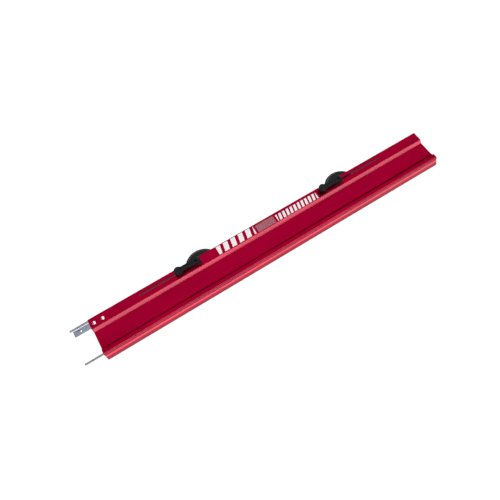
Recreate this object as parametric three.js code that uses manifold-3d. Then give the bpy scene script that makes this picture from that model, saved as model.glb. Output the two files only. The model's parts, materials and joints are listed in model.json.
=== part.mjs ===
// Guide rail of a manual slab cutter: a red anodised aluminium extrusion that is laid on a large
// ceramic slab and steers the scoring wheel along its front bead. Two lever-worked suction cups,
// each sliding in its own slot, hold the rail to the slab. Two dowel pins and a splice plate at the
// left end plug into the right end of the next rail, so that rails join into one long guide.
//
// Millimetres, +Z up. In the working frame X runs along the rail from its left end, Y is 0 at the
// back edge of the top flange and falls towards the front, and Z is 0 on the slab. At the end of
// the file the whole tool is moved so that its origin is the bottom centre of its bounding box.

import * as THREE from "three";
import { mergeVertices } from "three/addons/utils/BufferGeometryUtils.js";
import Module from "manifold-3d";

const wasm = await Module();
wasm.setup();

// ---------------------------------------------------------------- driving dimensions

const RAIL_LENGTH = 1100;
const WALL = 2.6; // wall of the extrusion
const RAIL_TOP = 28; // top of the flange above the slab
const GAP = 0.2; // assembly gap between pieces that touch
const RUNNING = 0.5; // clearance of pieces that slide in a slot
const PAST = 1; // how far a cutting shape runs past the face that it opens

const FLANGE_DEPTH = 30.4; // back edge to the top of the step
const FLANGE_THICKNESS = 2.8;
const STEP_RUN = 7.4; // how far the step comes forwards as it drops to the panel
const PANEL_DROP = 9;
const PANEL_DEPTH = 50.2;
const PANEL_SWEEP = 10; // radius where the panel turns up into the bead
const BEAD_DROP = 1; // top of the bead below the top of the flange
const BEAD_RUN = 4.3; // how far the back of the bead slopes forwards as it rises
const BEAD_WIDTH = 15.7;
const BEAD_SHOULDER = 6.5; // radius along the bead's top front edge
const BEAD_FACE = 9.8; // height of the bead's upright front face
const LIP_BEVEL_RUN = 3.8;
const LIP_BEVEL_DROP = 4.5;
const LIP_RUN = 5.4; // how far the lip flares forwards below its bevel
const FOOT_EDGE = 0.6; // radius on the free edges of the feet
const INNER_FILLET = 1; // radius of the corners under the rail
const WALL_BEND = 1.5; // inner radius where the wall turns down into a leg or the lip
const STEP_TOP_ROUNDING = 1.6;
const STEP_FOOT_ROUNDING = 3;
const STEP_INNER_ROUNDING = 2;
const BEAD_BACK_ROUNDING = 2;
const BEVEL_ROUNDING = 0.8;
const LIP_ROUNDING = 1.5;
const FOOT_THICKNESS = 2.4;
const LIP_FOOT_WIDTH = 13.2;
const LEG_FORWARD = 66; // centre of the middle leg, in front of the back edge
const LEG_FOOT_WIDTH = 11;
const GRIP_THICKNESS = 1.8;
const GRIP_INSET = 1.5; // margin between a grip strip and the edges of its foot

const DOWEL_RADIUS = 3;
const DOWEL_CLEARANCE = 0.1;
const DOWEL_LENGTH = 115;
const DOWEL_PROUD = 53;
const DOWEL_CHAMFER = 0.6;
const BACK_BOSS_RADIUS = 4.8;
const BACK_BOSS_FORWARD = 3.6;
const FRONT_BORE_BEHIND_FACE = 6.1; // bore centre to the bead's upright face
const FRONT_BORE_BELOW_TOP = 7.8;
const BEAD_FLOOR = 1.9; // metal left under the front bore

const SLOT_WIDTH = 5;
const SLOT_LENGTH = 190;
const SLOT_FROM_END = 147;
const SLOT_FORWARD = 13.4; // slot centreline, in front of the back edge

const PLATE_LENGTH = 98;
const PLATE_WIDTH = 17;
const PLATE_THICKNESS = 3;
const PLATE_PROUD = 46;
const PLATE_FORWARD = 17.4;
const PLATE_CORNER = 1;
const JOINT_HOLE_FROM_END = 26; // splice hole of the next rail, from the joint
const SPLICE_SCREWS_FROM_END = [13, 38];
const SPLICE_HOLE_RADIUS = 2.75;
const SPLICE_SHANK_RADIUS = 2.45;
const SPLICE_HEAD_RADIUS = 4.75;
const SPLICE_HEAD_HEIGHT = 2.7;
const SPLICE_SOCKET_RADIUS = 1.75;
const SPLICE_HEAD_CROWN = 1.8; // height of the rounded top of the head
const SPLICE_SCREW_REACH = 0.8; // shank left below the splice plate
const SCREW_TIP_CHAMFER = 0.4;
const SOCKET_MARGIN = 0.4; // flat ring round the mouth of a screw's socket
const SOCKET_SHARE = 0.65; // depth of the socket, as a share of the head's height
const CROWN_SHOULDER = { inset: 0.6, drop: 0.3 }; // where the rounded top turns, as shares of the crown

const PAD_A = 49.5; // half length of the suction pad, along the rail
const PAD_B = 43; // half width of the suction pad, across the rail
const PAD_AHEAD = 10; // middle of the pad, from the tongue towards the right end
const PAD_RIM = [
  [1.5, 0],
  [0.3, 0.4],
  [0, 1],
  [0.8, 2],
  [4, 2.9],
]; // sealing rim, as [inset, height] from under the edge to the top
const PAD_RIM_TOP = 3.3; // where the rim of the housing sits on the rubber
const PAD_BLOCK_INSET = 16; // rubber block under the core plate, in from the lip
const PAD_BLOCK_TOP = 7.5;
const PAD_DISH_INSET = 8; // width of the sealing lip
const PAD_DISH_DEPTH = 2.6;
const PAD_TAPER = 1; // how far the rubber's inner edges lean
const PAD_DISH_EDGE = { inset: 0.5, height: 0.4 }; // first turn of the dish, past the sealing lip
const PAD_DISH_RISE = 0.7; // share of the dish's depth that is reached at the block
const CORE_INSET = 18;
const CORE_THICKNESS = 2;
const HOUSING_INSET = 5.5; // housing rim, in from the lip
const HOUSING_TOP = 15.6;
const HOUSING_SIDE = [
  [0.6, 12.1],
  [0, 11.5],
  [0.4, 8.1],
  [3, 3.6],
  [7, 1],
  [11, 0],
]; // outside of the cover, as [inset, drop below the top] from its rim up
const HOUSING_WALL = 4;
const HOUSING_ROOF = 3.4;
const HOUSING_INSIDE = [
  [0.6, 3],
  [5, 0],
]; // inside of the cover above its rim, as [inset, drop below the roof]
const NECK_UNDER_ARM = 24; // neck, from the tongue towards the knob
const NECK_AHEAD = 8; // and past the tongue
const NECK_BACK = 4.3;
const NECK_FRONT = 12;
const NECK_CORNER = 2;
const NECK_ROOT = 2; // how far the neck goes down into the cover

const SADDLE_UNDER_ARM = 26; // saddle, from the tongue towards the knob
const SADDLE_AHEAD = 9; // and past the tongue
const SADDLE_HALF_WIDTH = 9.4;
const SADDLE_THICKNESS = 4.4;
const SADDLE_CORNER = 3;
const WEAR_HALF_LENGTH = 8.5;
const WEAR_HALF_WIDTH = 8.6;
const WEAR_THICKNESS = 0.8;
const WEAR_CORNER = 1;
const SADDLE_SCREWS = { outer: 21, inner: 13 }; // screw centres, from the tongue towards the knob
const SADDLE_SHANK_RADIUS = 1.95;
const SADDLE_HEAD_RADIUS = 3.5;
const SADDLE_HEAD_HEIGHT = 1.9;
const SADDLE_SOCKET_RADIUS = 1.3;
const SADDLE_HEAD_CROWN = 0.8;
const SADDLE_SCREW_BITE = 7; // thread length inside the housing neck

const TONGUE_LENGTH = 12; // along the rail
const TONGUE_FOOT_LENGTH = 18;
const TONGUE_FOOT_WIDTH = 9;
const TONGUE_FOOT_HEIGHT = 2;
const TONGUE_ROOT = 0.5; // how far the blade goes down into its foot

const LEVER_REACH = 60; // pivot to the middle of the knob
const KNOB_RADIUS = 12.2;
const KNOB_TOP = 2.4; // above the pivot
const KNOB_BOTTOM = -7.6;
const KNOB_DISH = 1;
const KNOB_DISH_EDGE = { outer: 3, inner: 4 }; // slope of the dish, in from the knob's side
const KNOB_TOP_CHAMFER = 1.2;
const KNOB_BOTTOM_CHAMFER = 1.5;
const ARM_HALF_WIDTH = 6.8;
const ARM_TOP = 2.6;
const ARM_BOTTOM = -6.4;
const ARM_GROOVE_HALF_WIDTH = 2.2;
const ARM_GROOVE_DEPTH = 1.6;
const ARM_GROOVE_MARGIN = 1; // end of the groove, short of the knob
const FORK_CLEARANCE = 0.9; // between the tongue and each cam cheek
const CHEEK_THICKNESS = 5.4;
const CAM_HEIGHT = 8; // pivot above the wear plate with the lever shut
const CAM_DROP_PER_RADIAN = 1.4; // how much lower the pivot sits per radian of opening
const LEVER_OPENING = THREE.MathUtils.degToRad(100);
const CAM_CROWN = 5.2; // radius of the cheek over the pivot
const CAM_CROWN_ARC = { from: 0.15, to: Math.PI / 2 + 0.5 };
const CAM_HEEL_CHAMFER = 1;
const CAM_STEPS = 20; // straight steps along the cam's curve
const BRIDGE_NEAR = 8.2; // bridge between the cheeks, from the pivot
const BRIDGE_FAR = 16;
const BRIDGE_BOTTOM = -6.4;
const PIVOT_RADIUS = 2;
const PIVOT_CLEARANCE = 0.15;
const PIVOT_HEAD_RADIUS = 3.2;
const PIVOT_HEAD_THICKNESS = 1;
const PIVOT_HEAD_EDGE = { inset: 0.6, height: 0.3 }; // rolled edge of the pin's heads

const ROUND = 32; // segments of a full circle
const FINE = 6; // segments of a filleted corner
const FULL_ROUND = 0.001; // how much a full round's radius falls short, so that its arcs don't meet

// ---------------------------------------------------------------- places that follow from them

const flangeUnder = RAIL_TOP - FLANGE_THICKNESS;
const panelTop = RAIL_TOP - PANEL_DROP;
const panelUnder = panelTop - WALL;
const beadTop = RAIL_TOP - BEAD_DROP;
const footUnder = GRIP_THICKNESS + GAP;
const stepTopY = -FLANGE_DEPTH;
const panelBackY = stepTopY - STEP_RUN;
const panelFrontY = panelBackY - PANEL_DEPTH;
const beadBackY = panelFrontY - BEAD_RUN;
const beadFaceY = beadBackY - BEAD_WIDTH;
const bevelTop = beadTop - BEAD_FACE;
const lipTopY = beadFaceY - LIP_BEVEL_RUN;
const lipTop = bevelTop - LIP_BEVEL_DROP;
const lipToeY = lipTopY - LIP_RUN;
const slotY = -SLOT_FORWARD;
const boreRadius = DOWEL_RADIUS + DOWEL_CLEARANCE;
const backBore = { y: -BACK_BOSS_FORWARD, z: RAIL_TOP - BACK_BOSS_RADIUS };
const frontBore = { y: beadFaceY + FRONT_BORE_BEHIND_FACE, z: beadTop - FRONT_BORE_BELOW_TOP };
const beadUnder = frontBore.z - boreRadius - BEAD_FLOOR;

const saddleUnder = RAIL_TOP + GAP;
const saddleTop = saddleUnder + SADDLE_THICKNESS;
const wearUnder = saddleTop + GAP;
const wearTop = wearUnder + WEAR_THICKNESS;
const pivotZ = wearTop + GAP + CAM_HEIGHT;
const neckTop = flangeUnder - GAP;
const housingUnder = PAD_RIM_TOP + GAP;
const coreUnder = PAD_BLOCK_TOP + GAP;
const tongueThickness = SLOT_WIDTH - 2 * RUNNING;
const forkGap = tongueThickness + 2 * FORK_CLEARANCE;
const tongueOpening = { x: TONGUE_LENGTH + 2 * RUNNING, y: tongueThickness + 2 * RUNNING };

// A cup can slide until its outer saddle screw or the far edge of its tongue is close to an end of
// the slot. The left cup is parked at the inner end of its slot, the right one part of the way along.
const slotCentres = [SLOT_FROM_END + SLOT_LENGTH / 2, RAIL_LENGTH - SLOT_FROM_END - SLOT_LENGTH / 2];
const slotHalf = SLOT_LENGTH / 2;
const LEFT_CUP_PARKED = 1; // tongue into the rounded inner end of its slot
const RIGHT_CUP_PARKED = 21; // outer screw out from the slot's inner end
const cupPlaces = {
  left: slotCentres[0] + slotHalf - SLOT_WIDTH / 2 - TONGUE_LENGTH / 2 + LEFT_CUP_PARKED,
  right: slotCentres[1] - slotHalf + SADDLE_SCREWS.outer + SADDLE_SHANK_RADIUS + RIGHT_CUP_PARKED,
};

// ---------------------------------------------------------------- materials

const finish = (color, roughness, metalness) =>
  new THREE.MeshStandardMaterial({ color, roughness, metalness });
const redAnodised = finish(0xa3062c, 0.35, 0.85);
const zincPlated = finish(0x8494ab, 0.4, 0.9);
const brightSteel = finish(0xd9dadd, 0.2, 1);
const blackSteel = finish(0x1c1d20, 0.35, 0.9);
const blackPlastic = finish(0x15181a, 0.45, 0);
const blackRubber = finish(0x101011, 0.8, 0);
const greyFoam = finish(0x2b2c2e, 0.95, 0);

// ---------------------------------------------------------------- shapes and solids

// A closed outline through corners [x, y, radius], each rounded by an arc of its own radius.
function roundedShape(corners) {
  const shape = new THREE.Shape();
  corners.forEach(([x, y, radius], i) => {
    const corner = new THREE.Vector2(x, y);
    const before = new THREE.Vector2(...corners.at(i - 1).slice(0, 2)).sub(corner);
    const after = new THREE.Vector2(...corners[(i + 1) % corners.length].slice(0, 2)).sub(corner);
    const half = Math.acos(before.clone().normalize().dot(after.clone().normalize())) / 2;
    const reach = radius / Math.tan(half);
    const start = corner.clone().addScaledVector(before.normalize(), reach);
    const end = corner.clone().addScaledVector(after.normalize(), reach);
    if (i === 0) shape.moveTo(start.x, start.y);
    else shape.lineTo(start.x, start.y);
    if (radius > 0) addArc(shape, corner, start, end, radius, half);
  });
  shape.closePath();
  return shape;
}

function addArc(shape, corner, start, end, radius, half) {
  const middle = start.clone().add(end).multiplyScalar(0.5);
  const centre = corner.clone().add(middle.sub(corner).setLength(radius / Math.sin(half)));
  const from = start.clone().sub(centre);
  const to = end.clone().sub(centre);
  shape.absarc(centre.x, centre.y, radius, from.angle(), to.angle(), from.cross(to) < 0);
}

function rectangle(x0, x1, y0, y1, radius = 0) {
  return roundedShape([[x0, y0, radius], [x1, y0, radius], [x1, y1, radius], [x0, y1, radius]]);
}

function stadium(length, width) {
  return rectangle(-length / 2, length / 2, -width / 2, width / 2, width / 2 - FULL_ROUND);
}

// A shape in X and Y, raised from z0 to z1.
function raise(shape, z0, z1, curveSegments = FINE) {
  const geometry = new THREE.ExtrudeGeometry(shape, {
    depth: z1 - z0,
    bevelEnabled: false,
    curveSegments,
  });
  return geometry.translate(0, 0, z0);
}

// A section drawn in Y and Z, run along X from x0 to x1.
function runAlongX(section, x0, x1, curveSegments = FINE) {
  const axes = new THREE.Matrix4().makeBasis(
    new THREE.Vector3(0, 1, 0),
    new THREE.Vector3(0, 0, 1),
    new THREE.Vector3(1, 0, 0),
  );
  return raise(section, x0, x1, curveSegments).applyMatrix4(axes);
}

// An outline drawn in X and Z, given its width across Y from y0 to y1.
function widenAcrossY(outline, y0, y1) {
  return raise(outline, -y1, -y0).rotateX(Math.PI / 2);
}

function block(x0, x1, y0, y1, z0, z1) {
  return raise(rectangle(x0, x1, y0, y1), z0, z1);
}

// A turned piece about Z, from a profile of [radius, height] that starts and ends on the axis.
function turn(profile, segments = ROUND) {
  return new THREE.LatheGeometry(
    profile.map(([r, z]) => new THREE.Vector2(r, z)),
    segments,
  ).rotateX(Math.PI / 2);
}

function rod(radius, z0, z1, segments = ROUND) {
  return turn([[0, z0], [radius, z0], [radius, z1], [0, z1]], segments);
}

// An oval solid: ellipses of half axes a - inset and b - inset, one for each [inset, height].
function oval(a, b, levels, segments = 2 * ROUND) {
  const positions = [];
  const index = [];
  for (const [inset, z] of levels) {
    for (let i = 0; i < segments; i++) {
      const angle = (2 * Math.PI * i) / segments;
      positions.push((a - inset) * Math.cos(angle), (b - inset) * Math.sin(angle), z);
    }
  }
  for (let k = 0; k + 1 < levels.length; k++) {
    for (let i = 0; i < segments; i++) {
      const next = (i + 1) % segments;
      const [p, q, r, s] = [i, next, next + segments, i + segments].map((n) => n + k * segments);
      index.push(p, q, r, p, r, s);
    }
  }
  const last = (levels.length - 1) * segments;
  for (let i = 1; i + 1 < segments; i++) {
    index.push(0, i + 1, i, last, last + i, last + i + 1);
  }
  return new THREE.BufferGeometry()
    .setAttribute("position", new THREE.Float32BufferAttribute(positions, 3))
    .setIndex(index);
}

function toSolid(geometry) {
  const bare = geometry.clone();
  bare.deleteAttribute("normal");
  bare.deleteAttribute("uv");
  const merged = mergeVertices(bare, 1e-4);
  return new wasm.Manifold(
    new wasm.Mesh({
      numProp: 3,
      vertProperties: merged.attributes.position.array,
      triVerts: new Uint32Array(merged.index.array),
    }),
  );
}

function toGeometry(solid) {
  const mesh = solid.getMesh();
  return new THREE.BufferGeometry()
    .setAttribute("position", new THREE.BufferAttribute(mesh.vertProperties, 3))
    .setIndex(new THREE.BufferAttribute(mesh.triVerts, 1));
}

function join(...geometries) {
  return toGeometry(geometries.map(toSolid).reduce((all, next) => all.add(next)));
}

function cut(geometry, ...tools) {
  return toGeometry(tools.map(toSolid).reduce((left, tool) => left.subtract(tool), toSolid(geometry)));
}

function piece(name, geometry, material) {
  const mesh = new THREE.Mesh(geometry, material);
  mesh.name = name;
  return mesh;
}

// A socket screw about Z: the head stands on z = 0 and the shank hangs below it.
function socketScrew(shankRadius, shankLength, headRadius, headHeight, socketRadius, crown) {
  const body = turn([
    [0, -shankLength],
    [shankRadius - SCREW_TIP_CHAMFER, -shankLength],
    [shankRadius, -shankLength + SCREW_TIP_CHAMFER],
    [shankRadius, 0],
    [headRadius, 0],
    [headRadius, headHeight - crown],
    [headRadius - crown * CROWN_SHOULDER.inset, headHeight - crown * CROWN_SHOULDER.drop],
    [socketRadius + SOCKET_MARGIN, headHeight],
    [0, headHeight],
  ]);
  const socketFloor = headHeight - headHeight * SOCKET_SHARE;
  return cut(body, rod(socketRadius, socketFloor, headHeight + PAST, 6));
}

// ---------------------------------------------------------------- the rail

// The extrusion's section in Y and Z, with the two bores that take the dowel pins.
function railSection() {
  const slope = Math.hypot(STEP_RUN, PANEL_DROP);
  const innerStep = (z) => {
    const y = stepTopY + (WALL * PANEL_DROP) / slope;
    const top = RAIL_TOP - (WALL * STEP_RUN) / slope;
    return y - ((top - z) * STEP_RUN) / PANEL_DROP;
  };
  const lipDrop = lipTop - footUnder;
  const lipSlope = Math.hypot(LIP_RUN, lipDrop);
  const innerLip = (z) => {
    const y = lipTopY + (WALL * lipDrop) / lipSlope;
    const top = lipTop - (WALL * LIP_RUN) / lipSlope;
    return y - ((top - z) * LIP_RUN) / lipDrop;
  };
  const footTop = footUnder + FOOT_THICKNESS;
  const legBackY = -LEG_FORWARD + WALL / 2;
  const legFrontY = -LEG_FORWARD - WALL / 2;
  const beadFloorY = beadBackY - WALL;
  const bossJoinY = backBore.y - Math.sqrt(BACK_BOSS_RADIUS ** 2 - (backBore.z - flangeUnder) ** 2);
  return roundedShape([
    [backBore.y, RAIL_TOP, 0],
    [stepTopY, RAIL_TOP, STEP_TOP_ROUNDING],
    [panelBackY, panelTop, STEP_FOOT_ROUNDING],
    [panelFrontY, panelTop, PANEL_SWEEP],
    [beadBackY, beadTop, BEAD_BACK_ROUNDING],
    [beadFaceY, beadTop, BEAD_SHOULDER],
    [beadFaceY, bevelTop, BEVEL_ROUNDING],
    [lipTopY, lipTop, LIP_ROUNDING],
    [lipToeY, footUnder, FOOT_EDGE],
    [lipToeY + LIP_FOOT_WIDTH, footUnder, FOOT_EDGE],
    [lipToeY + LIP_FOOT_WIDTH, footTop, FOOT_EDGE],
    [innerLip(footTop), footTop, INNER_FILLET],
    [innerLip(beadUnder), beadUnder, WALL_BEND],
    [beadFloorY - (panelUnder - beadUnder), beadUnder, INNER_FILLET],
    [beadFloorY, panelUnder, INNER_FILLET],
    [legFrontY, panelUnder, WALL_BEND],
    [legFrontY, footTop, INNER_FILLET],
    [-LEG_FORWARD - LEG_FOOT_WIDTH / 2, footTop, FOOT_EDGE],
    [-LEG_FORWARD - LEG_FOOT_WIDTH / 2, footUnder, FOOT_EDGE],
    [-LEG_FORWARD + LEG_FOOT_WIDTH / 2, footUnder, FOOT_EDGE],
    [-LEG_FORWARD + LEG_FOOT_WIDTH / 2, footTop, FOOT_EDGE],
    [legBackY, footTop, INNER_FILLET],
    [legBackY, panelUnder, WALL_BEND],
    [innerStep(panelUnder), panelUnder, STEP_INNER_ROUNDING],
    [innerStep(flangeUnder), flangeUnder, INNER_FILLET],
    [bossJoinY, flangeUnder, 0],
    [backBore.y, flangeUnder, 0],
  ]);
}

function boreAlongX(bore, radius, x0, x1) {
  const circle = new THREE.Shape().absarc(bore.y, bore.z, radius, 0, 2 * Math.PI);
  return runAlongX(circle, x0, x1, ROUND);
}

function flangeHole(x, y, radius) {
  return rod(radius, flangeUnder - PAST, RAIL_TOP + PAST).translate(x, y, 0);
}

function guideRail() {
  const boss = boreAlongX(backBore, BACK_BOSS_RADIUS, 0, RAIL_LENGTH);
  const body = join(runAlongX(railSection(), 0, RAIL_LENGTH), boss);
  const slots = slotCentres.map((x) =>
    raise(stadium(SLOT_LENGTH, SLOT_WIDTH), flangeUnder - PAST, RAIL_TOP + PAST).translate(x, slotY, 0),
  );
  const bores = [backBore, frontBore].map((bore) =>
    boreAlongX(bore, boreRadius, -PAST, RAIL_LENGTH + PAST),
  );
  const holes = [...SPLICE_SCREWS_FROM_END, RAIL_LENGTH - JOINT_HOLE_FROM_END].map((x) =>
    flangeHole(x, -PLATE_FORWARD, SPLICE_HOLE_RADIUS),
  );
  return piece("guide_rail", cut(body, ...slots, ...bores, ...holes), redAnodised);
}

function gripStrip(name, y0, y1) {
  const strip = block(0, RAIL_LENGTH, y0 + GRIP_INSET, y1 - GRIP_INSET, 0, GRIP_THICKNESS);
  return piece(name, strip, greyFoam);
}

function dowelPin(name, bore) {
  const pin = turn(
    [
      [0, 0],
      [DOWEL_RADIUS - DOWEL_CHAMFER, 0],
      [DOWEL_RADIUS, DOWEL_CHAMFER],
      [DOWEL_RADIUS, DOWEL_LENGTH - DOWEL_CHAMFER],
      [DOWEL_RADIUS - DOWEL_CHAMFER, DOWEL_LENGTH],
      [0, DOWEL_LENGTH],
    ],
    ROUND,
  );
  pin.rotateY(Math.PI / 2).translate(-DOWEL_PROUD, bore.y, bore.z);
  return piece(name, pin, brightSteel);
}

function splicePlate() {
  const top = flangeUnder - GAP;
  const under = top - PLATE_THICKNESS;
  const x0 = -PLATE_PROUD;
  const half = PLATE_WIDTH / 2;
  const [y0, y1] = [-PLATE_FORWARD - half, -PLATE_FORWARD + half];
  const outline = rectangle(x0, x0 + PLATE_LENGTH, y0, y1, PLATE_CORNER);
  const threaded = SPLICE_SHANK_RADIUS + DOWEL_CLEARANCE;
  const holes = [...SPLICE_SCREWS_FROM_END, -JOINT_HOLE_FROM_END].map((x) =>
    rod(threaded, under - PAST, top + PAST).translate(x, -PLATE_FORWARD, 0),
  );
  return piece("splice_plate", cut(raise(outline, under, top), ...holes), zincPlated);
}

function spliceScrew(name, x) {
  const reach = GAP + FLANGE_THICKNESS + GAP + PLATE_THICKNESS + SPLICE_SCREW_REACH;
  const screw = socketScrew(
    SPLICE_SHANK_RADIUS,
    reach,
    SPLICE_HEAD_RADIUS,
    SPLICE_HEAD_HEIGHT,
    SPLICE_SOCKET_RADIUS,
    SPLICE_HEAD_CROWN,
  );
  return piece(name, screw.translate(x, -PLATE_FORWARD, RAIL_TOP + GAP), brightSteel);
}

// ---------------------------------------------------------------- one suction cup
// Each cup is built about its own tongue: X 0 and Y 0 on the tongue, Z 0 on the slab. The pad and
// its cover are ovals whose middle lies a little past the tongue.

function padOval(a, b, levels) {
  return oval(a, b, levels).translate(PAD_AHEAD, 0, 0);
}

function tongueHole(z0, z1) {
  const { x, y } = tongueOpening;
  return block(-x / 2, x / 2, -y / 2, y / 2, z0, z1);
}

function atBothScrews(make) {
  return Object.values(SADDLE_SCREWS).map((x) => make().translate(-x, 0, 0));
}

function suctionPad(side) {
  const lip = padOval(PAD_A, PAD_B, [
    ...PAD_RIM,
    [PAD_DISH_INSET - PAD_TAPER, PAD_RIM_TOP],
    [PAD_BLOCK_INSET - PAD_TAPER, PAD_RIM_TOP],
    [PAD_BLOCK_INSET, PAD_BLOCK_TOP],
  ]);
  const dish = padOval(PAD_A, PAD_B, [
    [PAD_DISH_INSET - PAD_TAPER, -PAST],
    [PAD_DISH_INSET + PAD_DISH_EDGE.inset, PAD_DISH_EDGE.height],
    [PAD_BLOCK_INSET, PAD_DISH_RISE * PAD_DISH_DEPTH],
    [PAD_BLOCK_INSET + PAD_DISH_INSET, PAD_DISH_DEPTH],
  ]);
  const pocket = block(
    -TONGUE_FOOT_LENGTH / 2 - GAP,
    TONGUE_FOOT_LENGTH / 2 + GAP,
    -TONGUE_FOOT_WIDTH / 2 - GAP,
    TONGUE_FOOT_WIDTH / 2 + GAP,
    coreUnder - TONGUE_FOOT_HEIGHT - 3 * GAP,
    PAD_BLOCK_TOP + PAST,
  );
  return piece(`${side}_suction_pad`, cut(lip, dish, pocket), blackRubber);
}

function corePlate(side) {
  const disc = padOval(PAD_A, PAD_B, [
    [CORE_INSET, coreUnder],
    [CORE_INSET, coreUnder + CORE_THICKNESS],
  ]);
  const hole = block(
    -TONGUE_LENGTH / 2 - GAP,
    TONGUE_LENGTH / 2 + GAP,
    -tongueThickness / 2 - GAP,
    tongueThickness / 2 + GAP,
    coreUnder - PAST,
    coreUnder + CORE_THICKNESS + PAST,
  );
  return piece(`${side}_core_plate`, cut(disc, hole), blackSteel);
}

function pullTongue(side) {
  const half = TONGUE_LENGTH / 2;
  const footTop = coreUnder - GAP;
  const blade = roundedShape([
    [-half, footTop - TONGUE_ROOT, 0],
    [half, footTop - TONGUE_ROOT, 0],
    [half, pivotZ + half, half - FULL_ROUND],
    [-half, pivotZ + half, half - FULL_ROUND],
  ]);
  const foot = block(
    -TONGUE_FOOT_LENGTH / 2,
    TONGUE_FOOT_LENGTH / 2,
    -TONGUE_FOOT_WIDTH / 2,
    TONGUE_FOOT_WIDTH / 2,
    footTop - TONGUE_FOOT_HEIGHT,
    footTop,
  );
  const eye = rod(PIVOT_RADIUS + DOWEL_CLEARANCE, -SADDLE_HALF_WIDTH, SADDLE_HALF_WIDTH);
  eye.rotateX(Math.PI / 2).translate(0, 0, pivotZ);
  const body = join(widenAcrossY(blade, -tongueThickness / 2, tongueThickness / 2), foot);
  return piece(`${side}_pull_tongue`, cut(body, eye), blackSteel);
}

function cupHousing(side) {
  const a = PAD_A - HOUSING_INSET;
  const b = PAD_B - HOUSING_INSET;
  const shell = padOval(a, b, HOUSING_SIDE.map(([inset, drop]) => [inset, HOUSING_TOP - drop]));
  const cavityRoof = HOUSING_TOP - HOUSING_ROOF;
  const cavity = padOval(a - HOUSING_WALL, b - HOUSING_WALL, [
    [0, housingUnder - PAST],
    ...HOUSING_INSIDE.map(([inset, drop]) => [inset, cavityRoof - drop]),
  ]);
  const neck = raise(
    rectangle(-NECK_UNDER_ARM, NECK_AHEAD, -NECK_FRONT, NECK_BACK, NECK_CORNER),
    HOUSING_TOP - NECK_ROOT,
    neckTop,
  );
  const screwEnd = neckTop - SADDLE_SCREW_BITE;
  const shankHole = SADDLE_SHANK_RADIUS + GAP;
  const threads = atBothScrews(() => rod(shankHole, screwEnd - PAST, neckTop + PAST));
  const body = cut(join(shell, neck), cavity, tongueHole(0, neckTop + PAST), ...threads);
  return piece(`${side}_cup_housing`, body, blackPlastic);
}

function saddle(side) {
  const outline = rectangle(
    -SADDLE_UNDER_ARM,
    SADDLE_AHEAD,
    -SADDLE_HALF_WIDTH,
    SADDLE_HALF_WIDTH,
    SADDLE_CORNER,
  );
  const plate = raise(outline, saddleUnder, saddleTop);
  const headSeat = saddleTop - SADDLE_HEAD_HEIGHT - GAP;
  const shankHole = SADDLE_SHANK_RADIUS + GAP;
  const shanks = atBothScrews(() => rod(shankHole, saddleUnder - PAST, saddleTop + PAST));
  const seats = atBothScrews(() => rod(SADDLE_HEAD_RADIUS + GAP, headSeat, saddleTop + PAST));
  return piece(
    `${side}_saddle`,
    cut(plate, tongueHole(saddleUnder - PAST, saddleTop + PAST), ...shanks, ...seats),
    blackPlastic,
  );
}

function wearPlate(side) {
  const outline = rectangle(
    -WEAR_HALF_LENGTH,
    WEAR_HALF_LENGTH,
    -WEAR_HALF_WIDTH,
    WEAR_HALF_WIDTH,
    WEAR_CORNER,
  );
  const plate = raise(outline, wearUnder, wearTop);
  const opening = tongueHole(wearUnder - PAST, wearTop + PAST);
  return piece(`${side}_wear_plate`, cut(plate, opening), blackSteel);
}

function saddleScrew(name, x) {
  const headSeat = saddleTop - SADDLE_HEAD_HEIGHT;
  const screw = socketScrew(
    SADDLE_SHANK_RADIUS,
    headSeat - neckTop + SADDLE_SCREW_BITE,
    SADDLE_HEAD_RADIUS,
    SADDLE_HEAD_HEIGHT,
    SADDLE_SOCKET_RADIUS,
    SADDLE_HEAD_CROWN,
  );
  return piece(name, screw.translate(x, 0, headSeat), blackSteel);
}

function pivotPin(side) {
  const face = forkGap / 2 + CHEEK_THICKNESS + GAP;
  const end = face + PIVOT_HEAD_THICKNESS;
  const rolled = PIVOT_HEAD_RADIUS - PIVOT_HEAD_EDGE.inset;
  const pin = turn([
    [0, -end],
    [rolled, -end],
    [PIVOT_HEAD_RADIUS, -face - PIVOT_HEAD_EDGE.height],
    [PIVOT_HEAD_RADIUS, -face],
    [PIVOT_RADIUS, -face],
    [PIVOT_RADIUS, face],
    [PIVOT_HEAD_RADIUS, face],
    [PIVOT_HEAD_RADIUS, face + PIVOT_HEAD_EDGE.height],
    [rolled, end],
    [0, end],
  ]);
  return piece(`${side}_pivot_pin`, pin.rotateX(Math.PI / 2).translate(0, 0, pivotZ), blackSteel);
}

// The cam cheek in X and Z about the pivot. Its working edge is the curve whose distance to a
// flat plate below falls by CAM_DROP_PER_RADIAN for each radian that the lever is opened, so the
// tongue goes down in step with the lever. Shut, it stands on the flat beside that curve.
function cheekOutline() {
  const outline = new THREE.Shape();
  outline.moveTo(-BRIDGE_FAR, ARM_TOP);
  outline.lineTo(-BRIDGE_FAR, BRIDGE_BOTTOM);
  outline.lineTo(-BRIDGE_NEAR, -CAM_HEIGHT + CAM_HEEL_CHAMFER);
  outline.lineTo(-BRIDGE_NEAR + CAM_HEEL_CHAMFER, -CAM_HEIGHT);
  for (let i = 0; i <= CAM_STEPS; i++) {
    const open = (LEVER_OPENING * i) / CAM_STEPS;
    const height = CAM_HEIGHT - CAM_DROP_PER_RADIAN * open;
    outline.lineTo(
      height * Math.sin(open) - CAM_DROP_PER_RADIAN * Math.cos(open),
      -height * Math.cos(open) - CAM_DROP_PER_RADIAN * Math.sin(open),
    );
  }
  outline.absarc(0, 0, CAM_CROWN, CAM_CROWN_ARC.from, CAM_CROWN_ARC.to, false);
  outline.lineTo(-BRIDGE_NEAR + CAM_HEEL_CHAMFER, ARM_TOP);
  outline.closePath();
  return outline;
}

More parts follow.
